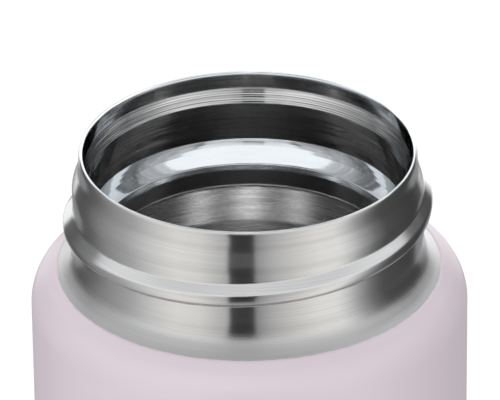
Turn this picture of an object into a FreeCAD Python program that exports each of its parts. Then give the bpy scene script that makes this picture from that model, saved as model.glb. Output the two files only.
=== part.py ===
"""Insulated baby bottle: a double-walled stainless steel vacuum bottle with a wide, open, threaded mouth.

Millimetres, +Z up. The origin is the centre of the base, where the bottle stands. Sizes near the mouth
are depths below the lip and sizes near the base are heights above the ground, so the neck keeps its
shape when the bottle is made taller.
"""
import FreeCAD
import Part
import Sketcher

import math
import os

SIZES = {
    # overall
    "total_height": 145.0,          # ground to lip
    "body_radius": 32.5,            # outside of the steel wall
    "sheet": 0.35,                  # both drawn steel walls
    "coat": 0.12,                   # powder coat on the outside
    # outer shell: lip, neck and shoulder, as depths below the lip
    "lip_radius": 25.1,             # outside of the welded lip
    "lip_round": 0.25,
    "lip_band": 2.9,                # where the straight band under the lip and its flare would meet
    "lip_band_round": 4.5,
    "neck_radius": 26.1,
    "neck_bulge_depth": 5.2,        # where the lip's flare and the neck would meet
    "neck_bulge_round": 4.5,
    "flare_top_depth": 15.6,        # where the neck and its first, slight flare would meet
    "flare_top_round": 7.0,
    "flare_step": 0.65,             # how far the slight flare leads out
    "flare_mid_depth": 17.45,
    "flare_mid_round": 3.5,
    "flare_run": 1.0,               # how far the steeper flare below it leads out
    "flare_foot_depth": 18.7,       # where that flare and the shoulder cone would meet
    "flare_foot_round": 3.0,
    "shoulder_foot_depth": 22.06,   # where the shoulder cone and the body would meet
    "shoulder_foot_round": 5.8,
    "coat_edge_depth": 19.29,       # the powder coat starts here
    # rolled thread on the neck
    "thread_crest": 1.35,           # above the neck
    "thread_half_width": 1.9,
    "thread_pitch": 6.6,
    "thread_depth": 11.35,          # crest at the first pass of the -X side, below the lip
    "thread_root": 0.3,             # how far the ridge's foot reaches into the wall
    # mouth liner: the drawn ring inside the mouth, as depths below the lip
    "mouth_step_top": 2.55,
    "mouth_step_foot": 4.75,
    "mouth_step": 0.9,
    "mouth_step_round": 0.5,
    "seat_top": 10.95,
    "seat_foot": 14.75,
    "seat_width": 1.8,
    "seat_top_round": 0.8,
    "seat_foot_round": 2.0,
    "liner_length": 18.2,
    # inner flask, as depths below the lip
    "lap": 2.0,                     # the liner sits in the flask's neck by this much
    "flask_neck_foot": 24.5,
    "flask_neck_round": 1.0,
    "flask_shoulder_foot": 29.2,
    "flask_shoulder_round": 6.0,
    "vacuum_gap": 2.3,              # between the two walls of the body
    # bottoms, as heights above the ground
    "pad": 2.2,                     # thickness of the non-slip pad
    "pad_round": 0.6,
    "pad_gap": 0.25,                # clearance of the pad and the cover inside the skirt
    "pad_recess": 0.6,
    "pad_recess_radius": 21.0,
    "rim_height": 1.0,              # how far the pad holds the steel rim off the ground
    "cover": 0.5,
    "plate": 0.5,                   # both pressed bottoms
    "plate_round": 1.2,
    "bottom_gap": 6.3,              # from the outer bottom to the flask's rim
    "flask_skirt": 3.0,
    "rise": 2.0,                    # of the inner bottom's raised middle
    "rise_foot_radius": 20.0,
    "rise_top_radius": 15.0,
    "pit_foot_radius": 7.2,
    "pit_radius": 5.6,
    "pit_depth": 1.5,
    "vent_radius": 0.75,
    "bead_radius": 3.2,
    "bead_height": 1.1,
    "bead_round": 0.9,
    # foil and getter
    "foil": 0.1,
    "foil_top_depth": 40.0,
    "foil_foot_margin": 4.0,
    "getter_radius": 4.0,
    "getter_thick": 1.6,
    "getter_offset": 16.0,
    "clip_sheet": 0.3,
    "clip_half_width": 2.0,
    "clip_half_span": 7.5,
    "clip_gap": 0.05,
}

# The thread's course, in degrees about +Z from +X. It climbs from first to last, about one and a
# quarter turns, and has its full height between full_from and full_to.
THREAD_FIRST, THREAD_FULL_FROM, THREAD_FULL_TO, THREAD_LAST = 120, 180, 395, 570
THREAD_STEP = 15
THREAD_MARK = 180       # the direction, -X, in which thread_depth is the crest's depth

# Sums of sizes that several pieces share
LIP = "total_height"
MOUTH = "lip_radius - sheet - sheet"
WALL = MOUTH + " - mouth_step"
THROAT = WALL + " - seat_width"
FLASK_NECK = THROAT + " + sheet"
SHELL_BORE = "body_radius - sheet"
FLASK_OUTSIDE = SHELL_BORE + " - vacuum_gap"
FLASK_BORE = FLASK_OUTSIDE + " - sheet"
PLATE_UNDER = "pad + cover"
PLATE_TOP = PLATE_UNDER + " + plate"
FLASK_RIM = PLATE_TOP + " + bottom_gap"
PIT_CEILING = PLATE_UNDER + " + pit_depth"
COVER_RADIUS = SHELL_BORE + " - plate_round - pad_gap"
PAD_RADIUS = SHELL_BORE + " - plate - pad_gap"
ON_AXIS = ""


def amount(words):
    """Value of a sum such as "total_height - lip_band"; no words make nought."""
    total, sign = 0.0, 1.0
    for word in words.split():
        if word in ("+", "-"):
            sign = 1.0 if word == "+" else -1.0
        else:
            total += sign * SIZES[word]
    return total


def formula(words):
    """The same sum as an expression on the sheet."""
    return " ".join(word if word in ("+", "-") else "Sizes." + word for word in words.split())


def write_sizes(doc):
    """Put every driving dimension in the sheet, each under its own alias."""
    sheet = doc.addObject("Spreadsheet::Sheet", "Sizes")
    for row, (alias, number) in enumerate(SIZES.items(), start=1):
        sheet.set(f"A{row}", alias)
        sheet.set(f"B{row}", str(number))
        sheet.setAlias(f"B{row}", alias)
    doc.recompute()


def origin_plane(body, role):
    return next(item for item in body.Origin.OriginFeatures if item.Role == role)


def towards(start, end):
    step = end - start
    return step / step.Length


class Outline:
    """A closed sketch through corners, each (across, up, round) as sums of sizes.

    Across is the distance from the axis and up is the height. A corner with a round keeps its point
    as construction geometry, and an arc of that radius joins its two sides.
    """

    def __init__(self, body, name, corners, plane="XZ_Plane"):
        self.sketch = body.newObject("Sketcher::SketchObject", name)
        self.sketch.AttachmentSupport = [(origin_plane(body, plane), "")]
        self.sketch.MapMode = "FlatFace"
        self.corners = corners
        self.points = [FreeCAD.Vector(amount(across), amount(up), 0.0) for across, up, _ in corners]
        self.ends = [self.side_ends(i) for i in range(len(corners))]
        self.sides = [self.add_side(i) for i in range(len(corners))]
        for i in range(len(corners)):
            self.join(i)

    def side_ends(self, i):
        """Where corner i's two sides stop: at the corner, or at the ends of its arc."""
        here, before, after = self.points[i], self.points[i - 1], self.points[(i + 1) % len(self.points)]
        back, on = towards(here, before), towards(here, after)
        fillet = self.corners[i][2]
        reach = amount(fillet) / math.tan(0.5 * back.getAngle(on)) if fillet else 0.0
        return here + back * reach, here + on * reach

    def add_side(self, i):
        start, end = self.ends[i][1], self.ends[(i + 1) % len(self.ends)][0]
        return self.sketch.addGeometry(Part.LineSegment(start, end), False)

    def bind(self, words, *constraint):
        """A dimension that follows the sheet."""
        index = self.sketch.addConstraint(Sketcher.Constraint(*constraint, amount(words)))
        self.sketch.renameConstraint(index, f"size_{index}")
        self.sketch.setExpression(f"Constraints.size_{index}", formula(words))

    def fix(self, *constraint):
        self.sketch.addConstraint(Sketcher.Constraint(*constraint))

    def join(self, i):
        """Join corner i's two sides and tie the corner to its sizes."""
        across, up, fillet = self.corners[i]
        before, after = self.sides[i - 1], self.sides[i]
        if fillet:
            arc, first, last = self.add_arc(i, amount(fillet))
            self.fix("Tangent", before, 2, arc, first)
            self.fix("Tangent", arc, last, after, 1)
            self.bind(fillet, "Radius", arc)
            corner = self.sketch.addGeometry(Part.Point(self.points[i]), True)
            self.fix("PointOnObject", corner, 1, before)
            self.fix("PointOnObject", corner, 1, after)
        else:
            self.fix("Coincident", before, 2, after, 1)
            corner = after
        if across:
            self.bind(across, "DistanceX", -1, 1, corner, 1)
        else:
            self.fix("PointOnObject", corner, 1, -2)
        self.bind(up, "DistanceY", -1, 1, corner, 1)

    def add_arc(self, i, radius):
        """Add corner i's arc, and say which of its ends, 1 or 2, the side before and the side after meet."""
        here, (start, end) = self.points[i], self.ends[i]
        inward = towards(here, (start + end) * 0.5)
        half = towards(here, start).getAngle(inward)
        centre = here + inward * (radius / math.sin(half))
        first, last = start - centre, end - centre
        runs_back = first.cross(last).z < 0.0
        if runs_back:
            first, last = last, first
        begin = math.atan2(first.y, first.x)
        circle = Part.Circle(centre, FreeCAD.Vector(0, 0, 1), radius)
        arc = self.sketch.addGeometry(Part.ArcOfCircle(circle, begin, begin + first.getAngle(last)), False)
        return (arc, 2, 1) if runs_back else (arc, 1, 2)


def turned_body(doc, node, corners):
    """A body turned about +Z from an outline."""
    body = doc.addObject("PartDesign::Body", node)
    outline = Outline(body, node + "_outline", corners).sketch
    turn = body.newObject("PartDesign::Revolution", node + "_turn")
    turn.Profile = outline
    turn.ReferenceAxis = (outline, ["V_Axis"])
    turn.Angle = 360
    outline.Visibility = False
    doc.recompute()
    return body


def flat_faces(shape, heights):
    """Names of the flat, level faces at some heights."""
    names = []
    for number, face in enumerate(shape.Faces, start=1):
        box = face.BoundBox
        if box.ZLength < 1e-4 and any(abs(box.ZMin - height) < 1e-4 for height in heights):
            names.append(f"Face{number}")
    return names


def drawn_sheet(doc, body, open_at, thickness, inwards):
    """Hollow a body to a sheet of one thickness, open at the level faces at some heights."""
    solid = body.Tip
    sheet = body.newObject("PartDesign::Thickness", body.Name + "_sheet")
    sheet.Base = (solid, flat_faces(solid.Shape, [amount(height) for height in open_at]))
    sheet.Mode = "Skin"
    sheet.Join = "Intersection"
    sheet.Reversed = inwards
    sheet.Value = amount(thickness)
    sheet.setExpression("Value", formula(thickness))
    doc.recompute()
    return sheet


def round_rim(doc, body, radius, height, fillet):
    """Round the circular edge of a radius at a height."""
    solid = body.Tip
    names = [f"Edge{number}" for number, edge in enumerate(solid.Shape.Edges, start=1)
             if isinstance(edge.Curve, Part.Circle) and abs(edge.Curve.Radius - amount(radius)) < 1e-3
             and abs(edge.Curve.Center.z - amount(height)) < 1e-3]
    rounding = body.newObject("PartDesign::Fillet", body.Name + "_round")
    rounding.Base = (solid, names)
    rounding.Radius = amount(fillet)
    rounding.setExpression("Radius", formula(fillet))
    doc.recompute()


def shell_outline():
    """The steel shell's outside, from the lip to the rim of its wall."""
    return [
        (ON_AXIS, LIP, None),
        ("lip_radius", LIP, None),
        ("lip_radius", LIP + " - lip_band", "lip_band_round"),
        ("neck_radius", LIP + " - neck_bulge_depth", "neck_bulge_round"),
        ("neck_radius", LIP + " - flare_top_depth", "flare_top_round"),
        ("neck_radius + flare_step", LIP + " - flare_mid_depth", "flare_mid_round"),
        ("neck_radius + flare_step + flare_run", LIP + " - flare_foot_depth", "flare_foot_round"),
        ("body_radius", LIP + " - shoulder_foot_depth", "shoulder_foot_round"),
        ("body_radius", "rim_height", None),
        (ON_AXIS, "rim_height", None),
    ]


def smooth(share):
    """A smooth step from 0 to 1."""
    share = min(max(share, 0.0), 1.0)
    return share * share * (3.0 - 2.0 * share)


def thread_height(angle):
    """The crest's height above the neck: it rises out of the wall and sinks back into it."""
    rise = smooth((angle - THREAD_FIRST) / (THREAD_FULL_FROM - THREAD_FIRST))
    fall = smooth((THREAD_LAST - angle) / (THREAD_LAST - THREAD_FULL_TO))
    buried = 0.5 * SIZES["thread_root"]
    return (SIZES["thread_crest"] + buried) * min(rise, fall) - buried


def thread_ridge(doc, name, depth_in_wall):
    """The helical ridge as a loft through sections, each a low arch on a straight foot.

    depth_in_wall moves the whole ridge inwards, which gives the hollow that rolling leaves behind it.
    """
    foot = SIZES["neck_radius"] - SIZES["thread_root"] - depth_in_wall
    half = SIZES["thread_half_width"]
    sections = []
    for angle in range(THREAD_FIRST, THREAD_LAST + 1, THREAD_STEP):
        turns = (angle - THREAD_MARK) / 360.0
        level = SIZES["total_height"] - SIZES["thread_depth"] + SIZES["thread_pitch"] * turns
        crest = SIZES["neck_radius"] + thread_height(angle) - depth_in_wall
        out = FreeCAD.Vector(math.cos(math.radians(angle)), math.sin(math.radians(angle)), 0.0)
        up = FreeCAD.Vector(0.0, 0.0, 1.0)
        low, high = out * foot + up * (level - half), out * foot + up * (level + half)
        arch = Part.Arc(low, out * crest + up * level, high).toShape()
        sections.append(Part.Wire([arch, Part.LineSegment(high, low).toShape()]))
    ridge = doc.addObject("Part::Feature", name)
    ridge.Shape = Part.makeLoft(sections, True, False)
    return ridge


def outer_shell(doc):
    """Neck, shoulder and wall drawn from one sheet, with the thread rolled into the neck."""
    plain = turned_body(doc, "plain_shell", shell_outline())
    drawn_sheet(doc, plain, [LIP, "rim_height"], "sheet", inwards=True)
    round_rim(doc, plain, "lip_radius", LIP, "lip_round")
    with_ridge = doc.addObject("Part::Fuse", "ridged_shell")
    with_ridge.Base = plain
    with_ridge.Tool = thread_ridge(doc, "thread_ridge", 0.0)
    shell = doc.addObject("Part::Cut", "outer_shell")
    shell.Base = with_ridge
    shell.Tool = thread_ridge(doc, "thread_hollow", SIZES["sheet"])
    return shell


def powder_coat(doc):
    """The coat on the shell's outside, masked off above the shoulder."""
    coat = turned_body(doc, "powder_coat", shell_outline())
    drawn_sheet(doc, coat, [LIP, "rim_height"], "coat", inwards=False)
    edge = LIP + " - coat_edge_depth"
    above = LIP + " + coat"
    mask = Outline(coat, "mask", [(ON_AXIS, above, None), ("body_radius", above, None),
                                  ("body_radius", edge, None), (ON_AXIS, edge, None)]).sketch
    bare = coat.newObject("PartDesign::Groove", "bare_neck")
    bare.Profile = mask
    bare.ReferenceAxis = (mask, ["V_Axis"])
    bare.Angle = 360
    before = coat.Shape.Volume
    doc.recompute()
    if coat.Shape.Volume >= before:
        raise RuntimeError("the mask left the powder coat uncut")
    return coat


def mouth_liner(doc):
    """The ring inside the mouth: a step below the lip, the seal's seat and the throat."""
    liner = turned_body(doc, "mouth_liner", [
        (ON_AXIS, LIP, None),
        (MOUTH, LIP, None),
        (MOUTH, LIP + " - mouth_step_top", "mouth_step_round"),
        (WALL, LIP + " - mouth_step_foot", "mouth_step_round"),
        (WALL, LIP + " - seat_top", "seat_top_round"),
        (THROAT, LIP + " - seat_foot", "seat_foot_round"),
        (THROAT, LIP + " - liner_length", None),
        (ON_AXIS, LIP + " - liner_length", None),
    ])
    drawn_sheet(doc, liner, [LIP, LIP + " - liner_length"], "sheet", inwards=False)
    round_rim(doc, liner, MOUTH, LIP, "lip_round")
    return liner


def inner_flask(doc):
    """The inner wall: a neck that laps the liner, a shoulder and a straight body."""
    top = LIP + " - liner_length + lap"
    flask = turned_body(doc, "inner_flask", [
        (ON_AXIS, top, None),
        (FLASK_NECK, top, None),
        (FLASK_NECK, LIP + " - flask_neck_foot", "flask_neck_round"),
        (FLASK_BORE, LIP + " - flask_shoulder_foot", "flask_shoulder_round"),
        (FLASK_BORE, FLASK_RIM, None),
        (ON_AXIS, FLASK_RIM, None),
    ])
    drawn_sheet(doc, flask, [top, FLASK_RIM], "sheet", inwards=False)
    return flask


def inner_bottom(doc):
    """The flask's pressed bottom: a skirt welded inside the wall and a raised middle."""
    top = FLASK_RIM + " + flask_skirt"
    bottom = turned_body(doc, "inner_bottom", [
        (ON_AXIS, FLASK_RIM, None),
        (FLASK_BORE, FLASK_RIM, None),
        (FLASK_BORE, top, "plate_round"),
        ("rise_foot_radius", top, "plate_round"),
        ("rise_top_radius", top + " + rise", "plate_round"),
        (ON_AXIS, top + " + rise", None),
    ])
    drawn_sheet(doc, bottom, [FLASK_RIM], "plate", inwards=True)
    return bottom


def outer_bottom(doc):
    """The shell's pressed bottom: a skirt welded inside the wall and a vented pit in the middle."""
    bottom = turned_body(doc, "outer_bottom", [
        (ON_AXIS, "rim_height", None),
        (SHELL_BORE, "rim_height", None),
        (SHELL_BORE, PLATE_TOP, "plate_round"),
        ("pit_foot_radius", PLATE_TOP, "plate_round"),
        ("pit_radius", PLATE_TOP + " + pit_depth", "plate_round"),
        (ON_AXIS, PLATE_TOP + " + pit_depth", None),
    ])
    drawn_sheet(doc, bottom, ["rim_height"], "plate", inwards=True)
    ring = bottom.newObject("Sketcher::SketchObject", "vent_outline")
    ring.AttachmentSupport = [(origin_plane(bottom, "XY_Plane"), "")]
    ring.MapMode = "FlatFace"
    circle = ring.addGeometry(Part.Circle(FreeCAD.Vector(), FreeCAD.Vector(0, 0, 1), amount("vent_radius")))
    ring.addConstraint(Sketcher.Constraint("Coincident", circle, 3, -1, 1))
    ring.addConstraint(Sketcher.Constraint("Radius", circle, amount("vent_radius")))
    ring.renameConstraint(1, "vent")
    ring.setExpression("Constraints.vent", formula("vent_radius"))
    vent = bottom.newObject("PartDesign::Pocket", "vent")
    vent.Profile = ring
    vent.Type = "ThroughAll"
    vent.Reversed = True
    before = bottom.Shape.Volume
    doc.recompute()
    if bottom.Shape.Volume >= before:
        raise RuntimeError("the vent left the outer bottom uncut")
    return bottom


def vacuum_seal(doc):
    """The glass bead that closes the vent, with the stem that ran up into it."""
    return turned_body(doc, "vacuum_seal", [
        (ON_AXIS, PIT_CEILING + " + plate", None),
        ("vent_radius", PIT_CEILING + " + plate", None),
        ("vent_radius", PIT_CEILING, None),
        ("bead_radius", PIT_CEILING, None),
        ("bead_radius", PIT_CEILING + " - bead_height", "bead_round"),
        (ON_AXIS, PIT_CEILING + " - bead_height", None),
    ])


def disc(doc, node, radius, height, thickness, offset=ON_AXIS):
    """A plain round disc that stands on a height."""
    piece = doc.addObject("Part::Cylinder", node)
    piece.setExpression("Radius", formula(radius))
    piece.setExpression("Height", formula(thickness))
    piece.setExpression("Placement.Base.z", formula(height))
    if offset:
        piece.setExpression("Placement.Base.x", formula(offset))
    return piece


def getter(doc):
    """The gas-absorbing pellet on the outer bottom."""
    return disc(doc, "getter", "getter_radius", PLATE_TOP, "getter_thick", "getter_offset")


def getter_clip(doc):
    """The strap over the pellet, with its two feet spot-welded to the outer bottom."""
    clip = doc.addObject("PartDesign::Body", "getter_clip")
    centre = "getter_offset"
    side = "getter_radius + clip_gap"
    minus_side = "getter_radius - clip_gap"
    foot, crown = PLATE_TOP + " + clip_sheet", PLATE_TOP + " + getter_thick"
    corners = [
        (f"{centre} - clip_half_span", PLATE_TOP),
        (f"{centre} - {minus_side}", PLATE_TOP),
        (f"{centre} - {minus_side}", crown),
        (f"{centre} + {side}", crown),
        (f"{centre} + {side}", PLATE_TOP),
        (f"{centre} + clip_half_span", PLATE_TOP),
        (f"{centre} + clip_half_span", foot),
        (f"{centre} + {side} + clip_sheet", foot),
        (f"{centre} + {side} + clip_sheet", crown + " + clip_sheet"),
        (f"{centre} - {minus_side} - clip_sheet", crown + " + clip_sheet"),
        (f"{centre} - {minus_side} - clip_sheet", foot),
        (f"{centre} - clip_half_span", foot),
    ]
    outline = Outline(clip, "clip_outline", [(across, up, None) for across, up in corners]).sketch
    strap = clip.newObject("PartDesign::Pad", "strap")
    strap.Profile = outline
    strap.setExpression("Length", formula("clip_half_width + clip_half_width"))
    strap.Midplane = True
    doc.recompute()
    return clip


def heat_shield(doc):
    """The foil wrapped round the flask's body."""
    foot, top = FLASK_RIM + " + foil_foot_margin", LIP + " - foil_top_depth"
    return turned_body(doc, "heat_shield", [
        (FLASK_OUTSIDE, foot, None),
        (FLASK_OUTSIDE + " + foil", foot, None),
        (FLASK_OUTSIDE + " + foil", top, None),
        (FLASK_OUTSIDE, top, None),
    ])


def heat_shield_disc(doc):
    """The round of foil under the flask's rim."""
    return disc(doc, "heat_shield_disc", FLASK_OUTSIDE, FLASK_RIM + " - foil", "foil")


def base_cover(doc):
    """The disc that hides the vent."""
    return disc(doc, "base_cover", COVER_RADIUS, "pad", "cover")


def base_pad(doc):
    """The non-slip pad the bottle stands on, with a shallow recess in its underside."""
    return turned_body(doc, "base_pad", [
        (ON_AXIS, "pad_recess", None),
        ("pad_recess_radius", "pad_recess", None),
        ("pad_recess_radius", "pad_recess - pad_recess", None),
        (PAD_RADIUS, "pad_recess - pad_recess", "pad_round"),
        (PAD_RADIUS, "pad", None),
        (ON_AXIS, "pad", None),
    ])


PIECES = (
    outer_shell, powder_coat, mouth_liner, inner_flask, inner_bottom, outer_bottom, vacuum_seal,
    getter, getter_clip, heat_shield, heat_shield_disc, base_cover, base_pad,
)


def check(doc, nodes):
    """Stop if any object failed or any piece isn't one valid solid."""
    for item in doc.Objects:
        if "Invalid" in item.State or "Error" in item.State:
            raise RuntimeError(f"{item.Label} failed: {item.State}")
    for node in nodes:
        shape = node.Shape
        if shape.isNull() or not shape.isValid() or len(shape.Solids) != 1:
            raise RuntimeError(f"{node.Label} isn't one valid solid")


def main():
    doc = FreeCAD.newDocument("bottle")
    write_sizes(doc)
    nodes = [piece(doc) for piece in PIECES]
    doc.recompute()
    check(doc, nodes)
    os.makedirs("parts", exist_ok=True)
    for node in nodes:
        node.Shape.exportStep(f"parts/{node.Label}.step")
        print(node.Label, round(node.Shape.Volume, 2), "mm3", len(node.Shape.Faces), "faces")


main()
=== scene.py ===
import logging
import math
from dataclasses import dataclass, field
from enum import Enum

import bmesh
import bpy
import numpy as np
from mathutils import Matrix, Vector


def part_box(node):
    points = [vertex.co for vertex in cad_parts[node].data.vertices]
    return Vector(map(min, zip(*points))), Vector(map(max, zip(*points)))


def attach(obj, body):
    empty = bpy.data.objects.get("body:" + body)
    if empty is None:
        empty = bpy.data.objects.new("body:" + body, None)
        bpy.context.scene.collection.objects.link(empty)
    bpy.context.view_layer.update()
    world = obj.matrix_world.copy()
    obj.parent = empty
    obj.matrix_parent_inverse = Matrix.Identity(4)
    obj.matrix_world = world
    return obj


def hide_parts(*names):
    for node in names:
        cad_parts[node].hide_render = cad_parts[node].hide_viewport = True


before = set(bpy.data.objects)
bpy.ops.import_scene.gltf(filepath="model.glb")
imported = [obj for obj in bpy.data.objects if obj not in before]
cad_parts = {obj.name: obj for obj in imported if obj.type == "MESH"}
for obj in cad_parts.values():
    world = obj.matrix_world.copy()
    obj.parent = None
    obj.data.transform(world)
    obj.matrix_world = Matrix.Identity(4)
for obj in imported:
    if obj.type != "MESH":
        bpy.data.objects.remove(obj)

# An insulated baby bottle of stainless steel, its mouth open: bare brushed neck, powder-coated body.
#
# Lengths are in millimetres until a mesh is written, and heights are depths below the lip, which are
# negative, so that every class shares the neck's own reference. Meshes are written in metres.

log = logging.getLogger("bottle")

MM = 0.001
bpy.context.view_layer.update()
LIP_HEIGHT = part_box("outer_shell")[1].z / MM            # mm above the ground
BODY_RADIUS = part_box("outer_shell")[1].x / MM
COATED_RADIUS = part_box("powder_coat")[1].x / MM
RIM_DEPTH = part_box("outer_shell")[0].z / MM - LIP_HEIGHT


# ---------------------------------------------------------------- colour and nodes

def srgb(code: str) -> tuple[float, float, float, float]:
    """Turn an sRGB hex value into linear light.

    Args:
        code: six hex digits, such as "E1D4DD".

    Returns:
        Linear red, green and blue, and an alpha of 1.
    """
    parts = np.array([int(code[i:i + 2], 16) for i in (0, 2, 4)]) / 255.0
    linear = np.where(parts <= 0.04045, parts / 12.92, ((parts + 0.055) / 1.055) ** 2.4)
    return (*map(float, linear), 1.0)


def add_node(tree: bpy.types.NodeTree, kind: str, settings: dict | None = None,
             links: dict | None = None) -> bpy.types.Node:
    """Add a node, set its properties and constant inputs, and link its other inputs.

    Args:
        tree: the node tree.
        kind: the node's Blender type name.
        settings: property or input names, or input numbers, with their values.
        links: input names or numbers with the sockets that feed them.

    Returns:
        The new node.
    """
    node = tree.nodes.new(kind)
    for key, value in (settings or {}).items():
        if isinstance(key, str) and hasattr(node, key):
            setattr(node, key, value)
        else:
            node.inputs[key].default_value = value
    for key, socket in (links or {}).items():
        tree.links.new(socket, node.inputs[key])
    return node


def new_material(name: str) -> tuple[bpy.types.Material, bpy.types.NodeTree]:
    """Make a material with an empty node tree."""
    material = bpy.data.materials.new(name)
    material.use_nodes = True
    material.node_tree.nodes.clear()
    return material, material.node_tree


# ---------------------------------------------------------------- profiles and surfaces

@dataclass(frozen=True)
class Corner:
    """A corner of a profile: its radius from the axis, its depth, and the round put on it."""

    radius: float
    depth: float
    fillet: float = 0.0


def rounded_path(corners: list[Corner], arc_step: float = 5.0) -> np.ndarray:
    """Run a path through corners, with an arc of each corner's own radius in its place.

    An arc of radius f in a corner of inner angle a leaves each side f / tan(a / 2) from the corner,
    and its centre is f / sin(a / 2) from it, on the line that halves the angle.

    Args:
        corners: the corners in order; the two ends have no round.
        arc_step: degrees between the points of an arc.

    Returns:
        Points as rows of radius and depth.
    """
    points = np.array([(c.radius, c.depth) for c in corners])
    pieces = [points[:1]]
    for i in range(1, len(corners) - 1):
        here, fillet = points[i], corners[i].fillet
        if fillet <= 0.0:
            pieces.append(here[None])
            continue
        back = (points[i - 1] - here) / np.linalg.norm(points[i - 1] - here)
        ahead = (points[i + 1] - here) / np.linalg.norm(points[i + 1] - here)
        half = 0.5 * math.acos(float(np.clip(back @ ahead, -1.0, 1.0)))
        reach = fillet / math.tan(half)
        inward = (back + ahead) / np.linalg.norm(back + ahead)
        centre = here + inward * fillet / math.sin(half)
        start, end = here + back * reach - centre, here + ahead * reach - centre
        sweep = math.pi - 2.0 * half
        count = max(3, int(math.degrees(sweep) / arc_step) + 2)
        share = np.linspace(0.0, 1.0, count)[:, None]
        arc = (np.sin((1.0 - share) * sweep) * start + np.sin(share * sweep) * end) / math.sin(sweep)
        pieces.append(centre + arc)
    pieces.append(points[-1:])
    return np.concatenate(pieces)


def fill_long_sides(path: np.ndarray, step: float, top: float, foot: float,
                    coarse: float = 8.0) -> np.ndarray:
    """Split a path's long straight sides, finely between two depths and coarsely elsewhere.

    Args:
        path: rows of radius and depth.
        step: the longest side, in mm, between the depths top and foot.
        top: upper depth of the fine stretch.
        foot: lower depth of the fine stretch.
        coarse: the longest side elsewhere.

    Returns:
        The path with points added on its sides.
    """
    pieces = []
    for start, end in zip(path[:-1], path[1:]):
        inside = foot <= 0.5 * (start[1] + end[1]) <= top
        count = max(1, math.ceil(np.linalg.norm(end - start) / (step if inside else coarse)))
        pieces.append(start + (end - start) * (np.arange(count) / count)[:, None])
    pieces.append(path[-1:])
    return np.concatenate(pieces)


def path_normals(path: np.ndarray) -> np.ndarray:
    """Unit normals to the left of a path that runs downwards, which is outwards from the axis."""
    along = np.gradient(path, axis=0)
    along /= np.linalg.norm(along, axis=1, keepdims=True)
    return np.stack([-along[:, 1], along[:, 0]], axis=1)


def beside(path: np.ndarray, distance: float) -> np.ndarray:
    """The path moved along its normals, outwards where the distance is positive."""
    return path + path_normals(path) * distance


def revolve(name: str, radius: np.ndarray, depth: np.ndarray, loop: bool) -> bpy.types.Object:
    """Turn a profile about the axis: a point is (radius cos a, radius sin a, lip height + depth).

    Rows follow the profile and columns go round the axis. A first or last row of no radius becomes
    one point, with a fan of triangles round it.

    Args:
        name: the object's name.
        radius: rows by columns, in mm.
        depth: rows by columns, in mm, negative below the lip.
        loop: whether the profile's last row joins its first.

    Returns:
        The object, smooth, with its faces turned outwards.
    """
    rows, columns = radius.shape
    angle = np.arange(columns) * 2.0 * np.pi / columns
    points = np.stack([radius * np.cos(angle), radius * np.sin(angle), LIP_HEIGHT + depth], axis=-1)
    flat = points.reshape(-1, 3) * MM
    index = np.arange(rows * columns).reshape(rows, columns)
    after = np.roll(index, -1, axis=1)
    if loop:
        low, low_after = np.roll(index, -1, axis=0), np.roll(after, -1, axis=0)
        quads = np.stack([index, after, low_after, low], axis=-1).reshape(-1, 4)
    else:
        quads = np.stack([index[:-1], after[:-1], after[1:], index[1:]], axis=-1).reshape(-1, 4)
    mesh = bpy.data.meshes.new(name)
    mesh.from_pydata(flat.tolist(), [], quads.tolist())
    made = bpy.data.objects.new(name, mesh)
    bpy.context.scene.collection.objects.link(made)
    close_poles_and_face_out(mesh)
    mesh.shade_smooth()
    return made


def close_poles_and_face_out(mesh: bpy.types.Mesh) -> None:
    """Merge the points that share a place, and turn every face outwards.

    Args:
        mesh: a closed mesh.
    """
    work = bmesh.new()
    work.from_mesh(mesh)
    bmesh.ops.remove_doubles(work, verts=work.verts, dist=1e-7)
    bmesh.ops.dissolve_degenerate(work, dist=1e-7, edges=work.edges)
    if work.calc_volume(signed=True) < 0.0:
        bmesh.ops.reverse_faces(work, faces=work.faces)
    work.to_mesh(mesh)
    work.free()


def spread(path: np.ndarray, columns: int) -> tuple[np.ndarray, np.ndarray]:
    """Radius and depth of a path, the same in every column."""
    return np.repeat(path[:, :1], columns, axis=1), np.repeat(path[:, 1:], columns, axis=1)


def smooth_step(share: np.ndarray) -> np.ndarray:
    """A smooth step: 3 s^2 - 2 s^3 for a share s held between 0 and 1."""
    share = np.clip(share, 0.0, 1.0)
    return share * share * (3.0 - 2.0 * share)


def smooth_least(first: np.ndarray, second: np.ndarray, blend: float) -> np.ndarray:
    """The lesser of two heights, with the crossing rounded over a height of blend."""
    share = np.clip(0.5 + 0.5 * (second - first) / blend, 0.0, 1.0)
    return second + (first - second) * share - blend * share * (1.0 - share)


def finish_piece(piece: bpy.types.Object, slot: str, *nodes: str) -> bpy.types.Object:
    """Tie a piece to the bottle, and hide the CAD nodes it stands for."""
    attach(piece, "root")
    if nodes:
        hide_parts(*nodes)
    log.info("%s: %d faces, for %s", piece.name, len(piece.data.polygons), ", ".join(nodes) or "nothing")
    return piece


# ---------------------------------------------------------------- finishes

class Grain(Enum):
    """How a steel surface was worked: the scale of its pattern along each axis, per mm."""

    BRUSHED = (0.03, 0.03, 8.0)
    TURNED = (0.02, 0.02, 3.4)
    DRAWN = (0.12, 0.12, 4.0)
    POLISHED = (0.15, 0.15, 0.9)


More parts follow.
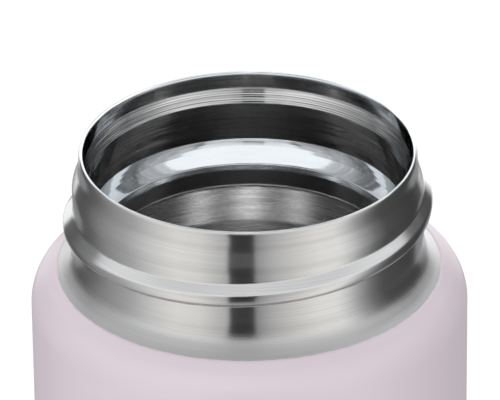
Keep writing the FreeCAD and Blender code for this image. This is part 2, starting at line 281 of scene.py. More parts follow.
@dataclass(frozen=True)
class SteelFinish:
    """18/8 stainless sheet. Brushing or turning leaves rings round the axis, so a highlight spreads
    up and down the wall and stays narrow round it. The rings differ in brightness and in gloss."""

    name: str
    colour: str = "CACACA"
    ring_colour: str = "BABABA"     # of the deeper rings
    grain: Grain = Grain.BRUSHED
    roughness: float = 0.16         # of the smoother rings
    ring_roughness: float = 0.22    # of the deeper rings
    groove_depth: float = 0.0015    # mm
    anisotropy: float = 0.9
    matt_depth: float | None = None # depth below which the surface was left matt by the coat's mask
    matt_roughness: float = 0.5
    matt_fade: float = 3.0          # mm over which it turns matt

    def build(self) -> bpy.types.Material:
        """Make the material.

        Returns:
            The material, its pattern on Object coordinates.
        """
        material, tree = new_material(self.name)
        place = add_node(tree, "ShaderNodeTexCoord").outputs["Object"]
        per_metre = [scale / MM for scale in self.grain.value]
        rings = add_node(tree, "ShaderNodeMapping", {"Scale": per_metre}, {"Vector": place})
        lines = add_node(tree, "ShaderNodeTexNoise", {"Scale": 1.0, "Detail": 3.0, "Roughness": 0.7},
                         {"Vector": rings.outputs[0]})
        share = add_node(tree, "ShaderNodeMapRange", {"From Min": 0.38, "From Max": 0.66},
                         {"Value": lines.outputs[0]}).outputs[0]
        bump = add_node(tree, "ShaderNodeBump", {"Strength": 1.0, "Distance": self.groove_depth * MM},
                        {"Height": lines.outputs[0]})
        tint = add_node(tree, "ShaderNodeMix", {
            "data_type": "RGBA", 6: srgb(self.colour), 7: srgb(self.ring_colour),
        }, {"Factor": share})
        rough = add_node(tree, "ShaderNodeMapRange", {
            "To Min": self.roughness, "To Max": self.ring_roughness}, {"Value": share}).outputs[0]
        if self.matt_depth is not None:
            rough = self.matt_zone(tree, place, rough)
        tangent = add_node(tree, "ShaderNodeTangent", {"direction_type": "RADIAL", "axis": "Z"})
        shader = add_node(tree, "ShaderNodeBsdfPrincipled", {
            "Metallic": 1.0, "Anisotropic": self.anisotropy, "Anisotropic Rotation": 0.25,
        }, {"Base Color": tint.outputs[2], "Roughness": rough, "Normal": bump.outputs[0],
            "Tangent": tangent.outputs[0]})
        add_node(tree, "ShaderNodeOutputMaterial", links={"Surface": shader.outputs[0]})
        return material

    def matt_zone(self, tree: bpy.types.NodeTree, place: bpy.types.NodeSocket,
                  rough: bpy.types.NodeSocket) -> bpy.types.NodeSocket:
        """Raise the roughness above matt_depth, towards the coat's edge."""
        height = add_node(tree, "ShaderNodeSeparateXYZ", links={"Vector": place}).outputs["Z"]
        foot = (LIP_HEIGHT + self.matt_depth) * MM
        share = add_node(tree, "ShaderNodeMapRange", {
            "interpolation_type": "SMOOTHSTEP",
            "From Min": foot + self.matt_fade * MM, "From Max": foot, "To Min": 0.0, "To Max": 1.0,
        }, {"Value": height}).outputs[0]
        mix = add_node(tree, "ShaderNodeMix", {"data_type": "FLOAT", "B": self.matt_roughness},
                       {"Factor": share, "A": rough})
        return mix.outputs[0]


@dataclass(frozen=True)
class PowderCoatFinish:
    """Polyester powder coat, sprayed and baked: a satin skin with a faint orange peel."""

    name: str = "pink_powder_coat_satin"
    colour: str = "E1D4DD"
    shade: str = "DDCFD8"
    roughness: float = 0.34
    peel_width: float = 0.9         # mm
    grain_width: float = 0.16       # mm
    peel_depth: float = 0.002       # mm

    def build(self) -> bpy.types.Material:
        """Make the material."""
        material, tree = new_material(self.name)
        place = add_node(tree, "ShaderNodeTexCoord").outputs["Object"]
        peel = add_node(tree, "ShaderNodeTexNoise", {"Scale": 1.0 / (self.peel_width * MM), "Detail": 2.0},
                        {"Vector": place})
        grain = add_node(tree, "ShaderNodeTexNoise", {"Scale": 1.0 / (self.grain_width * MM), "Detail": 1.0},
                         {"Vector": place})
        relief = add_node(tree, "ShaderNodeMath", {"operation": "MULTIPLY_ADD", 1: 0.35},
                          {0: grain.outputs[0], 2: peel.outputs[0]})
        bump = add_node(tree, "ShaderNodeBump", {"Strength": 1.0, "Distance": self.peel_depth * MM},
                        {"Height": relief.outputs[0]})
        cloud = add_node(tree, "ShaderNodeTexNoise", {"Scale": 60.0, "Detail": 3.0}, {"Vector": place})
        tint = add_node(tree, "ShaderNodeMix", {
            "data_type": "RGBA", 6: srgb(self.colour), 7: srgb(self.shade),
        }, {"Factor": cloud.outputs[0]})
        shader = add_node(tree, "ShaderNodeBsdfPrincipled", {"Roughness": self.roughness, "IOR": 1.5},
                          {"Base Color": tint.outputs[2], "Normal": bump.outputs[0]})
        add_node(tree, "ShaderNodeOutputMaterial", links={"Surface": shader.outputs[0]})
        return material


@dataclass(frozen=True)
class RubberFinish:
    """Compression-moulded silicone rubber: matt, soft and a little dusty."""

    name: str = "moulded_silicone_rubber"
    colour: str = "B8AEB3"
    roughness: float = 0.7
    grain_width: float = 0.35

    def build(self) -> bpy.types.Material:
        """Make the material."""
        material, tree = new_material(self.name)
        place = add_node(tree, "ShaderNodeTexCoord").outputs["Object"]
        grain = add_node(tree, "ShaderNodeTexNoise", {"Scale": 1.0 / (self.grain_width * MM), "Detail": 3.0},
                         {"Vector": place})
        bump = add_node(tree, "ShaderNodeBump", {"Strength": 0.6, "Distance": 0.02 * MM},
                        {"Height": grain.outputs[0]})
        shader = add_node(tree, "ShaderNodeBsdfPrincipled", {
            "Base Color": srgb(self.colour), "Roughness": self.roughness, "IOR": 1.43, "Sheen Weight": 0.15,
        }, {"Normal": bump.outputs[0]})
        add_node(tree, "ShaderNodeOutputMaterial", links={"Surface": shader.outputs[0]})
        return material


@dataclass(frozen=True)
class MottledFinish:
    """A small hidden piece of one material, with a cloudy surface: fired glass, sintered metal or foil."""

    name: str
    light: str
    dark: str
    roughness: float
    metallic: float = 0.0
    cell: float = 0.8               # mm
    relief: float = 0.02            # mm

    def build(self) -> bpy.types.Material:
        """Make the material."""
        material, tree = new_material(self.name)
        place = add_node(tree, "ShaderNodeTexCoord").outputs["Object"]
        cloud = add_node(tree, "ShaderNodeTexNoise", {"Scale": 1.0 / (self.cell * MM), "Detail": 4.0},
                         {"Vector": place})
        tint = add_node(tree, "ShaderNodeMix", {
            "data_type": "RGBA", 6: srgb(self.light), 7: srgb(self.dark),
        }, {"Factor": cloud.outputs[0]})
        bump = add_node(tree, "ShaderNodeBump", {"Strength": 1.0, "Distance": self.relief * MM},
                        {"Height": cloud.outputs[0]})
        shader = add_node(tree, "ShaderNodeBsdfPrincipled",
                          {"Roughness": self.roughness, "Metallic": self.metallic},
                          {"Base Color": tint.outputs[2], "Normal": bump.outputs[0]})
        add_node(tree, "ShaderNodeOutputMaterial", links={"Surface": shader.outputs[0]})
        return material


NECK_STEEL = SteelFinish("brushed_stainless_steel", ring_colour="C2C2C2", ring_roughness=0.2,
                         groove_depth=0.0006, matt_depth=-18.6)
WALL_STEEL = SteelFinish("turned_stainless_steel", colour="D2D2D2", ring_colour="A2A2A2",
                         grain=Grain.TURNED, roughness=0.05, ring_roughness=0.13, groove_depth=0.007)
SEAT_STEEL = SteelFinish("polished_stainless_steel", colour="D8DCDF", ring_colour="D4D8DB",
                         grain=Grain.POLISHED, roughness=0.05, ring_roughness=0.07,
                         groove_depth=0.002, anisotropy=0.2)
THROAT_STEEL = SteelFinish("ironed_stainless_steel", colour="ACACAC", ring_colour="A0A0A0",
                           grain=Grain.DRAWN, roughness=0.16, ring_roughness=0.2,
                           groove_depth=0.002)
FLASK_STEEL = SteelFinish("drawn_stainless_steel", ring_colour="A8A8A8", grain=Grain.DRAWN,
                          roughness=0.22, ring_roughness=0.3, groove_depth=0.004)
BOTTOM_STEEL = SteelFinish("pressed_stainless_steel", colour="BDBCB9", grain=Grain.DRAWN,
                           roughness=0.3, ring_roughness=0.4, groove_depth=0.002, anisotropy=0.3)
POWDER_COAT = PowderCoatFinish()
SILICONE = RubberFinish()
SOLDER_GLASS = MottledFinish("fired_solder_glass", light="4A524B", dark="2E3430", roughness=0.15)
GETTER_ALLOY = MottledFinish("sintered_getter_alloy", light="5A5855", dark="3C3A38", roughness=0.8,
                             metallic=0.6, cell=0.15, relief=0.03)
SHIELD_FOIL = MottledFinish("creased_aluminium_foil", light="D6D7DA", dark="C4C5C8", roughness=0.25,
                            metallic=1.0, cell=4.0, relief=0.15)


# ---------------------------------------------------------------- the bottle

@dataclass
class RolledThread:
    """One right-handed ridge rolled into the neck. Across its width the height is the least of three
    curves: a straight upper flank, a round crest and a straight lower flank."""

    crest: float = 1.23
    start_crest: float = 0.27       # how much taller it is on the -X side, where it starts
    start_until: float = 190.0      # degrees, where that extra height begins to fade
    start_fade: float = 60.0        # degrees over which it fades
    half_width: float = 1.9
    pitch: float = 6.6
    left_depth: float = -11.35      # crest on the -X side, first pass
    upper_slope: float = 0.82
    lower_slope: float = 1.3
    crest_drop: float = 0.15        # the crest lies this far below the middle
    crest_round: float = 2.9
    upper_blend: float = 0.12       # mm, how softly the upper flank meets the crest
    lower_blend: float = 0.2
    first: float = 120.0            # degrees about +Z
    full_from: float = 172.0
    full_to: float = 395.0
    last: float = 570.0

    def pass_height(self, angle: np.ndarray, depth: np.ndarray) -> np.ndarray:
        """Height of the ridge over the neck where the ridge is at one angle, counted from +X."""
        middle = self.left_depth + self.pitch * (angle - 180.0) / 360.0
        across = depth - middle
        rise = smooth_step((angle - self.first) / (self.full_from - self.first))
        fall = smooth_step((self.last - angle) / (self.last - self.full_to))
        tall = np.minimum(rise, fall)
        extra = self.start_crest * (1.0 - smooth_step((angle - self.start_until) / self.start_fade))
        top = self.crest + extra - (across + self.crest_drop) ** 2 / (2.0 * self.crest_round)
        upper = self.upper_slope * (self.half_width - across)
        lower = self.lower_slope * (self.half_width + across)
        shape = smooth_least(smooth_least(top, upper, self.upper_blend), lower, self.lower_blend)
        return tall * np.maximum(shape, 0.0)

    def height(self, turn: np.ndarray, depth: np.ndarray) -> np.ndarray:
        """Height of the ridge over the neck, the taller of its two passes.

        Args:
            turn: degrees about +Z, from 0 to 360.
            depth: depth of each point.

        Returns:
            Height in mm.
        """
        return np.maximum(self.pass_height(turn, depth), self.pass_height(turn + 360.0, depth))


@dataclass
class OuterShell:
    """The bare neck, the shoulder and the wall, drawn from one sheet."""

    sheet: float = 0.35
    lip_radius: float = 25.1
    lip_drop: float = 0.9           # depth of the lip's outer round
    neck_radius: float = 26.1
    columns: int = 480
    row: float = 0.14               # mm between rows on the neck's outside
    inner_row: float = 0.6          # and on its inside
    thread_top: float = -5.5        # the rows are fine between these depths
    thread_foot: float = -16.0
    thread: RolledThread = field(default_factory=RolledThread)

    def outside(self, arc_step: float = 4.0) -> np.ndarray:
        """The outside of the steel, from the lip's round to the rim of the wall."""
        return rounded_path([
            Corner(self.lip_radius, -self.lip_drop),
            Corner(self.lip_radius, -2.7, 5.0),
            Corner(self.neck_radius, -5.8, 5.0),
            Corner(self.neck_radius, -15.6, 7.0),
            Corner(self.neck_radius + 0.65, -17.45, 3.5),
            Corner(self.neck_radius + 1.65, -18.7, 3.0),
            Corner(BODY_RADIUS, -22.06, 5.8),
            Corner(BODY_RADIUS, RIM_DEPTH),
        ], arc_step)

    def build(self) -> bpy.types.Object:
        """Make the shell: its outside, its inside one sheet away, and the lip's outer round."""
        outside = fill_long_sides(self.outside(), self.row, self.thread_top, self.thread_foot)
        inside = fill_long_sides(self.outside(arc_step=8.0), self.inner_row, self.thread_top,
                                 self.thread_foot)
        inside = beside(inside, -self.sheet)[::-1]
        quarter = np.linspace(0.0, 0.5 * np.pi, 10)[:-1]
        lip = np.stack([self.lip_radius - self.sheet + self.sheet * np.sin(quarter),
                        -self.lip_drop + self.lip_drop * np.cos(quarter)], axis=1)
        radius, depth = spread(np.concatenate([outside, inside, lip]), self.columns)
        turn = np.broadcast_to(np.arange(self.columns) * 360.0 / self.columns, radius.shape)
        on_wall = depth < -2.0
        radius = radius + np.where(on_wall, self.thread.height(turn, depth), 0.0)
        shell = revolve("outer_shell_skin", radius, depth, loop=True)
        shell.data.materials.append(NECK_STEEL.build())
        return finish_piece(shell, "brushed_neck_steel", "outer_shell")


@dataclass
class PowderCoat:
    """The coat over the shoulder and the wall, with the mask's edge above it."""

    shell: OuterShell
    edge_depth: float = -19.29
    edge_width: float = 0.35        # mm over which the coat thins out
    cling: float = 0.004            # mm between the coat and the steel
    wander: float = 0.035           # mm, how uneven the mask's edge is
    columns: int = 480

    def build(self) -> bpy.types.Object:
        """Make the coat: a skin that thins out towards its edge."""
        steel = fill_long_sides(self.shell.outside(), 0.25, -16.0, -30.0)
        covered = steel[steel[:, 1] < self.edge_depth + 0.01]
        start = self.point_at(steel, self.edge_depth)
        under = np.concatenate([start[None], covered])
        normals = path_normals(np.concatenate([steel[:1], under]))[1:]
        run = np.concatenate([[0.0], np.cumsum(np.linalg.norm(np.diff(under, axis=0), axis=1))])
        full = COATED_RADIUS - BODY_RADIUS
        thick = full * np.sqrt(smooth_step(run / self.edge_width + 0.02))
        top = under + normals * thick[:, None]
        ring = np.concatenate([top, (under + normals * self.cling)[::-1]])
        radius, depth = spread(ring, self.columns)
        turn = np.arange(self.columns) * 2.0 * np.pi / self.columns
        uneven = sum(np.sin(turn * waves + phase) / 3.0 for waves, phase in ((23, 0.4), (61, 1.9), (97, 4.0)))
        near_edge = np.exp(-np.concatenate([run, run[::-1]]) / 0.4)[:, None]
        depth = depth - self.wander * near_edge * uneven
        radius = radius + self.wander * near_edge * uneven
        coat = revolve("powder_coat_skin", radius, depth, loop=True)
        coat.data.materials.append(POWDER_COAT.build())
        return finish_piece(coat, "pink_powder_coat", "powder_coat")

    @staticmethod
    def point_at(path: np.ndarray, depth: float) -> np.ndarray:
        """The point of a falling path at a depth."""
        return np.array([np.interp(-depth, -path[:, 1], path[:, 0]), depth])


@dataclass
class MouthLiner:
    """The ring inside the mouth: lip, step, turned wall, conical seat, throat and its weld."""

    sheet: float = 0.35
    mouth: float = 24.4
    wall: float = 23.5
    throat: float = 21.7
    length: float = 18.2
    columns: int = 400
    weld_bead: float = 0.08         # mm
    groove_pitch: float = 0.33
    groove_depth: float = 0.008
    turned_top: float = -2.6        # the turned wall runs between these depths
    turned_foot: float = -10.8
    seat_top: float = -10.9         # and the polished seat between these
    seat_foot: float = -15.4
    lip_foot: float = -0.4          # the lip is polished down to here
    weld_top: float = -17.5

    def inside(self, arc_step: float) -> np.ndarray:
        """The side that faces the milk, from the lip's round down to the weld."""
        return rounded_path([
            Corner(self.mouth, -self.sheet),
            Corner(self.mouth - 0.1, -2.55, 0.5),
            Corner(self.wall, -4.75, 0.5),
            Corner(self.wall, -10.85, 0.2),
            Corner(23.31, -11.36, 6.0),
            Corner(23.10, -11.87, 6.0),
            Corner(22.87, -12.39, 0.5),
            Corner(21.90, -14.35, 1.4),
            Corner(self.throat, -15.3, 1.2),
            Corner(self.throat, -self.length),
        ], arc_step)

    def build(self) -> bpy.types.Object:
        """Make the liner, its lower edge rippled by the weld to the flask."""
        inside = fill_long_sides(self.inside(4.0), self.groove_pitch / 6.0, self.turned_top,
                                 self.turned_foot)
        inside = fill_long_sides(inside, 0.4, 0.0, self.weld_top)
        inside = fill_long_sides(inside, 0.06, self.weld_top, -self.length)
        outside = beside(self.inside(8.0), self.sheet)[::-1]
        quarter = np.linspace(0.5 * np.pi, 0.0, 7)[1:]
        lip = np.stack([self.mouth + self.sheet - self.sheet * np.sin(quarter),
                        -self.sheet + self.sheet * np.cos(quarter)], axis=1)
        ring = np.concatenate([inside, outside, lip[::-1]])
        radius, depth = spread(ring, self.columns)
        turn = np.arange(self.columns) * 2.0 * np.pi / self.columns
        ripple = 0.4 + np.abs(np.sin(turn * 90.0 + 0.6 * np.sin(turn * 7.0)))
        near_weld = np.exp(-((depth + self.length - 0.2) / 0.16) ** 2)
        radius = radius - self.weld_bead * ripple * near_weld * (radius < self.throat + 0.5 * self.sheet)
        radius = radius + self.grooves(radius, depth, turn)
        liner = revolve("mouth_liner_skin", radius, depth, loop=True)
        for finish in (WALL_STEEL, SEAT_STEEL, THROAT_STEEL):
            liner.data.materials.append(finish.build())
        self.assign_bands(liner)
        return finish_piece(liner, "brushed_neck_steel", "mouth_liner")

    def grooves(self, radius: np.ndarray, depth: np.ndarray, turn: np.ndarray) -> np.ndarray:
        """One fine helical groove, as the turning tool leaves it, of uneven depth.

        Its depth is a sin(2 pi z / pitch + turn), and it fades out at the ends of the turned wall.
        """
        uneven = 0.55 + 0.45 * np.sin(depth * 5.3 + 2.0 * np.sin(depth * 1.7))
        ends = (smooth_step((self.turned_top - depth) / 0.2)
                * smooth_step((depth - self.turned_foot) / 0.2))
        facing_milk = radius < self.mouth + 0.05
        wave = np.sin(2.0 * np.pi * depth / self.groove_pitch + turn)
        return self.groove_depth * wave * uneven * ends * facing_milk

    def assign_bands(self, liner: bpy.types.Object) -> None:
        """Polish the lip and the seat, leave the throat as drawn and turn the wall between."""
        mesh = liner.data
        centre = np.empty(len(mesh.polygons) * 3)
        mesh.polygons.foreach_get("center", centre)
        depth = centre.reshape(-1, 3)[:, 2] / MM - LIP_HEIGHT
        polished = ((depth < self.seat_top) & (depth > self.seat_foot)) | (depth > self.lip_foot)
        finish = np.where(depth < self.seat_foot, 2, np.where(polished, 1, 0))
        mesh.polygons.foreach_set("material_index", finish.astype(np.int32))


@dataclass
class InnerFlask:
    """The inner wall: its neck, its shoulder and its body."""

    sheet: float = 0.35
    neck: float = 22.05
    bore: float = 29.5
    top: float = -16.2
    neck_foot: float = -24.5
    shoulder_foot: float = -29.2
    columns: int = 360

    def build(self) -> bpy.types.Object:
        """Make the wall of one sheet, from the lap at the throat to the rim at the bottom."""
        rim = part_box("inner_flask")[0].z / MM - LIP_HEIGHT
        inside = rounded_path([
            Corner(self.neck, self.top),
            Corner(self.neck, self.neck_foot, 0.8),
            Corner(self.bore, self.shoulder_foot, 6.0),
            Corner(self.bore, rim),
        ], arc_step=3.0)
        inside = fill_long_sides(inside, 0.6, 0.0, -34.0)
        ring = np.concatenate([inside, beside(inside, self.sheet)[::-1]])
        flask = revolve("inner_flask_skin", *spread(ring, self.columns), loop=True)
        flask.data.materials.append(FLASK_STEEL.build())
        return finish_piece(flask, "drawn_flask_steel", "inner_flask")


@dataclass
class Bottoms:
    """The pressed bottoms of the flask and of the shell, and the pad underneath."""

    plate: float = 0.5
    columns: int = 240

    def pan(self, name: str, corners: list[Corner]) -> bpy.types.Object:
        """A pressed pan: its upper side from the axis to the foot of its skirt, and the same one plate in."""
        upper = rounded_path(corners, arc_step=6.0)
        inner = upper - path_normals(upper) * self.plate
        inner[0, 0] = 0.0
        inner[-1, 1] = upper[-1, 1]
        ring = np.concatenate([upper, inner[::-1]])
        return revolve(name, *spread(ring, self.columns), loop=False)

    def build_inner(self) -> bpy.types.Object:
        """Make the flask's bottom, which shows at the bottom of the cavity."""
        low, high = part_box("inner_bottom")
        rim, top = low.z / MM - LIP_HEIGHT, high.z / MM - LIP_HEIGHT
        bottom = self.pan("inner_bottom_skin", [
            Corner(0.0, top), Corner(15.0, top, 1.2), Corner(20.0, top - 2.0, 1.2),
            Corner(high.x / MM, top - 2.0, 1.2), Corner(high.x / MM, rim),
        ])
        bottom.data.materials.append(FLASK_STEEL.build())
        return finish_piece(bottom, "drawn_flask_steel", "inner_bottom")

    def build_outer(self) -> bpy.types.Object:
        """Make the shell's bottom; the vent in its pit is closed by the glass bead."""
        low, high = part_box("outer_bottom")
        rim, top = low.z / MM - LIP_HEIGHT, high.z / MM - LIP_HEIGHT
        bottom = self.pan("outer_bottom_skin", [
            Corner(0.0, top), Corner(5.6, top, 1.2), Corner(7.2, top - 1.5, 1.2),
            Corner(high.x / MM, top - 1.5, 1.2), Corner(high.x / MM, rim),
        ])
        bottom.data.materials.append(BOTTOM_STEEL.build())
        return finish_piece(bottom, "bottom_steel", "outer_bottom")

    def build_pad(self) -> bpy.types.Object:
        """Make the pad: a recess in the middle and grip rings on the ring that meets the table."""
        low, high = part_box("base_pad")
        edge, foot, top = high.x / MM, low.z / MM - LIP_HEIGHT, high.z / MM - LIP_HEIGHT
        grips = [corner for radius in np.arange(23.0, 29.5, 1.6)
                 for corner in (Corner(radius, foot, 0.12), Corner(radius + 0.2, foot + 0.3, 0.1),
                                Corner(radius + 0.5, foot + 0.3, 0.1), Corner(radius + 0.7, foot, 0.12))]
        path = rounded_path([
            Corner(0.0, foot + 0.6), Corner(20.9, foot + 0.6, 0.2), Corner(21.1, foot, 0.25), *grips,
            Corner(edge, foot, 0.6), Corner(edge, top, 0.1), Corner(0.0, top),
        ], arc_step=15.0)
        pad = revolve("base_pad_skin", *spread(path, self.columns), loop=False)
        pad.data.materials.append(SILICONE.build())
        return finish_piece(pad, "base_silicone", "base_pad")


@dataclass
class HiddenPieces:
    """The pieces sealed between the walls and under the pad, which keep their CAD shapes."""

    finishes: tuple[tuple[str, SteelFinish | MottledFinish], ...] = (
        ("vacuum_seal", SOLDER_GLASS),
        ("getter", GETTER_ALLOY),
        ("getter_clip", BOTTOM_STEEL),
        ("heat_shield", SHIELD_FOIL),
        ("heat_shield_disc", SHIELD_FOIL),
        ("base_cover", BOTTOM_STEEL),
    )

    def dress(self) -> None:
        """Give each piece its own finish."""
        for node, finish in self.finishes:
            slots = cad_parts[node].data.materials
            slots.clear()
            slots.append(finish.build())
            log.info("%s: dressed in %s", node, finish.name)


# ---------------------------------------------------------------- the studio

@dataclass
class LightTent:
    """A ball of cards round the mouth, which only reflections see.

    Its brightness has five zones, from the floor to the top: the floor, the walls of the room with a
    dark upright gap at the front, a bright strip above them, an even ceiling, and ceiling lamps. Each
    is a curve round the axis, from the front (0 degrees) to the right (90) and the back (180).
    """

    radius: float = 0.25
    height: float = 0.132
    columns: int = 720
    rows: int = 180
    lowest: float = -62.0           # degrees
    floor_light: float = 0.33       # of the floor behind the bottle
    behind_from: float = 133.0      # degrees round, where that floor begins
    behind_fade: float = 4.0
    floor_edge: float = -17.0       # degrees up, where it meets the walls
    floor_fade: float = 3.0
    near_light: float = 0.45        # least light of the floor close to the bottle
    near_edge: float = -37.0
    near_fade: float = 4.0
    walls: tuple[tuple[float, float], ...] = (
        (-180.0, 0.35), (-162.0, 0.35), (-158.0, 1.5), (-144.0, 1.5), (-140.0, 0.18), (-130.0, 0.13),
        (-118.0, 0.18), (-100.0, 0.4), (-80.0, 0.6), (-60.0, 1.0), (-45.0, 1.2), (-30.0, 1.1),
        (-20.0, 0.85), (-13.2, 0.72), (-11.6, 0.04), (2.6, 0.04), (4.2, 0.42), (15.0, 0.72), (30.0, 1.0),
        (43.0, 1.22), (56.0, 1.25), (63.0, 1.0), (72.0, 0.57), (82.0, 0.25), (92.0, 0.11),
        (125.0, 0.07), (140.0, 0.1),
        (146.0, 1.0), (150.0, 1.9), (166.0, 1.9), (170.0, 1.1), (180.0, 1.0),
    )
    strip: tuple[tuple[float, float], ...] = (
        (-180.0, 1.7), (-124.0, 1.5), (-118.0, 0.4), (-109.0, 0.4), (-103.0, 1.2), (-68.0, 1.28),
        (68.0, 1.28), (103.0, 1.2), (109.0, 0.4), (118.0, 0.4), (124.0, 1.5), (180.0, 1.7),
    )
    ceiling: tuple[tuple[float, float], ...] = (
        (-180.0, 1.7), (-120.0, 1.2), (-95.0, 0.9), (-60.0, 0.95), (0.0, 1.05), (60.0, 0.95), (95.0, 0.9),
        (120.0, 1.7), (180.0, 1.7),
    )
    lamps: tuple[tuple[float, float], ...] = (
        (-180.0, 1.5), (-120.0, 0.5), (-58.0, 0.25), (-50.0, 1.0), (-33.0, 1.0), (-25.0, 0.25),
        (-17.0, 0.25), (-11.0, 1.1), (11.0, 1.1), (17.0, 0.25), (25.0, 0.25), (33.0, 1.0), (50.0, 1.0),
        (58.0, 0.25), (120.0, 0.5), (180.0, 1.5),
    )
    zone_edges: tuple[tuple[float, float], ...] = ((15.5, 19.5), (31.0, 36.0), (58.0, 66.0))
    cool: tuple[float, float, float] = (0.995, 1.0, 1.012)
    warm: tuple[float, float, float] = (1.015, 1.0, 0.96)

    def glow(self, azimuth: np.ndarray, elevation: np.ndarray) -> np.ndarray:
        """Colour of the tent in a direction.

        Args:
            azimuth: degrees from the front, positive to the right.
            elevation: degrees above the horizon.

        Returns:
            Linear red, green and blue, where 1 is white.
        """
        light = self.along(self.walls, azimuth)
        behind = smooth_step((np.abs(azimuth) - self.behind_from) / self.behind_fade)
        low = smooth_step((self.floor_edge - elevation) / self.floor_fade)
        light = light + (self.floor_light - light) * behind * low
        near = smooth_step((self.near_edge - elevation) / self.near_fade)
        dim = smooth_step((self.near_light - light) / 0.4)
        light = light + (self.near_light - light) * near * dim
        light = light * (1.0 - 0.14 * np.exp(-((elevation + 12.0) / 8.0) ** 2))
        for (start, end), zone in zip(self.zone_edges, (self.strip, self.ceiling, self.lamps)):
            share = smooth_step((elevation - start) / (end - start))
            light = light + (self.along(zone, azimuth) - light) * share
        warmth = np.exp(-((np.abs(azimuth) - 38.0) / 28.0) ** 2) * smooth_step((14.0 - elevation) / 6.0)
        tint = np.array(self.cool) + warmth[..., None] * (np.array(self.warm) - np.array(self.cool))
        return light[..., None] * tint

    @staticmethod
    def along(stops: tuple[tuple[float, float], ...], azimuth: np.ndarray) -> np.ndarray:
        """A curve through stops of azimuth and brightness."""
        return np.interp(azimuth, *zip(*stops))

    def build(self) -> None:
        """Make the tent and its material. Below the horizon its foot is drawn in, to stay off the floor."""
        elevation = np.linspace(self.lowest, 89.5, self.rows)[:, None]
        azimuth = (np.arange(self.columns) * 360.0 / self.columns - 180.0)[None]
        azimuth, elevation = np.broadcast_arrays(azimuth, elevation)
        level, turn = np.radians(elevation), np.radians(azimuth)
        reach = np.minimum(self.radius, (self.height - 0.002) / np.maximum(-np.sin(level), 1e-3))
        reach = np.where(level < 0.0, reach, self.radius)
        way = np.stack([np.cos(level) * np.sin(turn), -np.cos(level) * np.cos(turn), np.sin(level)], axis=-1)
        points = (way * reach[..., None]).reshape(-1, 3) + (0.0, 0.0, self.height)
        index = np.arange(self.rows * self.columns).reshape(self.rows, self.columns)
        after = np.roll(index, -1, axis=1)
        quads = np.stack([index[:-1], index[1:], after[1:], after[:-1]], axis=-1).reshape(-1, 4)
        mesh = bpy.data.meshes.new("light_tent")
        mesh.from_pydata(points.tolist(), [], quads.tolist())
        light = np.ones((len(points), 4), dtype=np.float32)
        light[:, :3] = self.glow(azimuth, elevation).reshape(-1, 3)
        mesh.color_attributes.new("glow", "FLOAT_COLOR", "POINT").data.foreach_set("color", light.ravel())
        tent = bpy.data.objects.new("light_tent", mesh)
        bpy.context.scene.collection.objects.link(tent)
        for ray in ("visible_camera", "visible_diffuse", "visible_shadow", "visible_transmission",
                    "visible_volume_scatter"):
            setattr(tent, ray, False)
        material, tree = new_material("tent_glow")
        glow = add_node(tree, "ShaderNodeVertexColor", {"layer_name": "glow"})
        emission = add_node(tree, "ShaderNodeEmission", {"Strength": 1.0}, {"Color": glow.outputs[0]})
        add_node(tree, "ShaderNodeOutputMaterial", links={"Surface": emission.outputs[0]})
        mesh.materials.append(material)


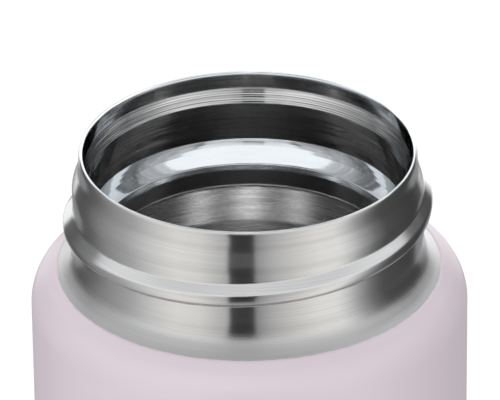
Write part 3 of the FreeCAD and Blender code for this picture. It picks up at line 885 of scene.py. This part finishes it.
@dataclass
class Studio:
    """Floor, world, lamps and camera."""

    focal_length: float = 436.7
    distance: float = 0.9
    elevation: float = 29.15        # degrees above the horizon
    roll: float = 0.65
    aim_depth: float = -8.5
    aim_side: float = 0.25
    floor_size: float = 12.0
    floor_gap: float = 0.05         # mm under the pad, which keeps the two faces apart
    daylight: float = 0.8
    mouth_lamp_elevation: float = 40.0
    mouth_lamp_distance: float = 0.6
    mouth_lamp_height: float = 0.25
    mouth_lamp_aim: float = -20.0   # mm, a depth
    mouth_lamps: tuple[tuple[float, float, float], ...] = (     # azimuth, width in metres, watts
        (0.0, 0.15, 13.0), (-41.0, 0.1, 9.0), (41.0, 0.1, 9.0),
    )

    def build_floor(self) -> None:
        """Make the pale floor, white to the camera and shaded where the bottle stands."""
        half, level = 0.5 * self.floor_size, -self.floor_gap * MM
        mesh = bpy.data.meshes.new("floor")
        mesh.from_pydata([(-half, -half, level), (half, -half, level), (half, half, level),
                          (-half, half, level)], [], [(0, 1, 2, 3)])
        floor = bpy.data.objects.new("floor", mesh)
        bpy.context.scene.collection.objects.link(floor)
        material, tree = new_material("white_card")
        matt = add_node(tree, "ShaderNodeBsdfDiffuse", {"Color": srgb("F4F4F3")})
        seen = add_node(tree, "ShaderNodeEmission", {"Color": (1.0, 1.0, 1.0, 1.0), "Strength": 1.12})
        path = add_node(tree, "ShaderNodeLightPath")
        share = add_node(tree, "ShaderNodeMath", {"operation": "MULTIPLY", 1: 0.75},
                         {0: path.outputs["Is Camera Ray"]})
        both = add_node(tree, "ShaderNodeMixShader", links={0: share.outputs[0], 1: matt.outputs[0],
                                                            2: seen.outputs[0]})
        add_node(tree, "ShaderNodeOutputMaterial", links={"Surface": both.outputs[0]})
        mesh.materials.append(material)

    def build_world(self) -> None:
        """Make an even white world: daylight to matt surfaces, and white behind the floor's edge."""
        world = bpy.data.worlds.new("studio")
        bpy.context.scene.world = world
        world.use_nodes = True
        world.node_tree.nodes.clear()
        tree = world.node_tree
        path = add_node(tree, "ShaderNodeLightPath")
        strength = add_node(tree, "ShaderNodeMapRange", {"To Min": self.daylight, "To Max": 1.0},
                            {"Value": path.outputs["Is Camera Ray"]})
        sky = add_node(tree, "ShaderNodeBackground", {"Color": (1.0, 1.0, 1.0, 1.0)},
                       {"Strength": strength.outputs[0]})
        add_node(tree, "ShaderNodeOutputWorld", links={"Surface": sky.outputs[0]})
        world.cycles_visibility.glossy = False

    def build_lamps(self) -> None:
        """Hang one large soft lamp at the front left, unseen by reflections."""
        data = bpy.data.lights.new("key_softbox", "AREA")
        data.shape, data.size, data.size_y, data.energy = "RECTANGLE", 1.2, 1.2, 7.0
        lamp = bpy.data.objects.new("key_softbox", data)
        lamp.location = (-0.7, -1.3, 1.5)
        aim = Vector((0.0, 0.0, LIP_HEIGHT * MM)) - lamp.location
        lamp.rotation_euler = aim.to_track_quat("-Z", "Y").to_euler()
        lamp.visible_glossy = False
        bpy.context.scene.collection.objects.link(lamp)

    def build_mouth_lamps(self, flask: bpy.types.Object) -> None:
        """Hang three narrow lamps that light the flask alone, as the ceiling does through the mouth.

        Args:
            flask: the piece that they light.
        """
        lit = bpy.data.collections.new("lit_by_mouth_lamps")
        lit.objects.link(flask)
        for azimuth, width, energy in self.mouth_lamps:
            data = bpy.data.lights.new("mouth_lamp", "AREA")
            data.shape, data.energy = "RECTANGLE", energy
            data.size, data.size_y = width, self.mouth_lamp_height
            lamp = bpy.data.objects.new("mouth_lamp", data)
            turn, level = math.radians(azimuth), math.radians(self.mouth_lamp_elevation)
            aim = Vector((0.0, 0.0, (LIP_HEIGHT + self.mouth_lamp_aim) * MM))
            way = Vector((math.cos(level) * math.sin(turn), -math.cos(level) * math.cos(turn),
                          math.sin(level)))
            lamp.location = aim + way * self.mouth_lamp_distance
            lamp.rotation_euler = (-way).to_track_quat("-Z", "Y").to_euler()
            lamp.light_linking.receiver_collection = lit
            lamp.visible_camera = False
            bpy.context.scene.collection.objects.link(lamp)

    def build_camera(self) -> None:
        """Place the camera: it looks along +Y, down by the elevation, turned a little about its own axis."""
        level, lean = math.radians(self.elevation), math.radians(self.roll)
        forward = Vector((0.0, math.cos(level), -math.sin(level)))
        up = Vector((0.0, math.sin(level), math.cos(level)))
        right = Vector((1.0, 0.0, 0.0))
        side = right * math.cos(lean) - up * math.sin(lean)
        top = up * math.cos(lean) + right * math.sin(lean)
        target = Vector((self.aim_side * MM, 0.0, (LIP_HEIGHT + self.aim_depth) * MM))
        data = bpy.data.cameras.new("camera")
        data.lens, data.sensor_width = self.focal_length, 36.0
        data.clip_start, data.clip_end = 0.05, 60.0
        camera = bpy.data.objects.new("camera", data)
        turn = Matrix((side, top, -forward)).transposed()
        camera.matrix_world = Matrix.Translation(target - forward * self.distance) @ turn.to_4x4()
        bpy.context.scene.collection.objects.link(camera)
        bpy.context.scene.camera = camera

    def build(self, flask: bpy.types.Object) -> None:
        """Set up the whole studio.

        Args:
            flask: the inner flask, which has its own lamps.
        """
        self.build_floor()
        self.build_world()
        self.build_lamps()
        self.build_mouth_lamps(flask)
        self.build_camera()
        LightTent().build()
        bpy.context.scene.view_settings.view_transform = "Standard"


def main() -> None:
    """Build the bottle from its shell inwards, then the studio round it."""
    logging.basicConfig(level=logging.INFO, format="%(name)s: %(message)s")
    shell = OuterShell()
    shell.build()
    PowderCoat(shell).build()
    MouthLiner().build()
    flask = InnerFlask().build()
    bottoms = Bottoms()
    bottoms.build_inner()
    bottoms.build_outer()
    bottoms.build_pad()
    HiddenPieces().dress()
    Studio().build(flask)


if __name__ == "__main__":
    main()
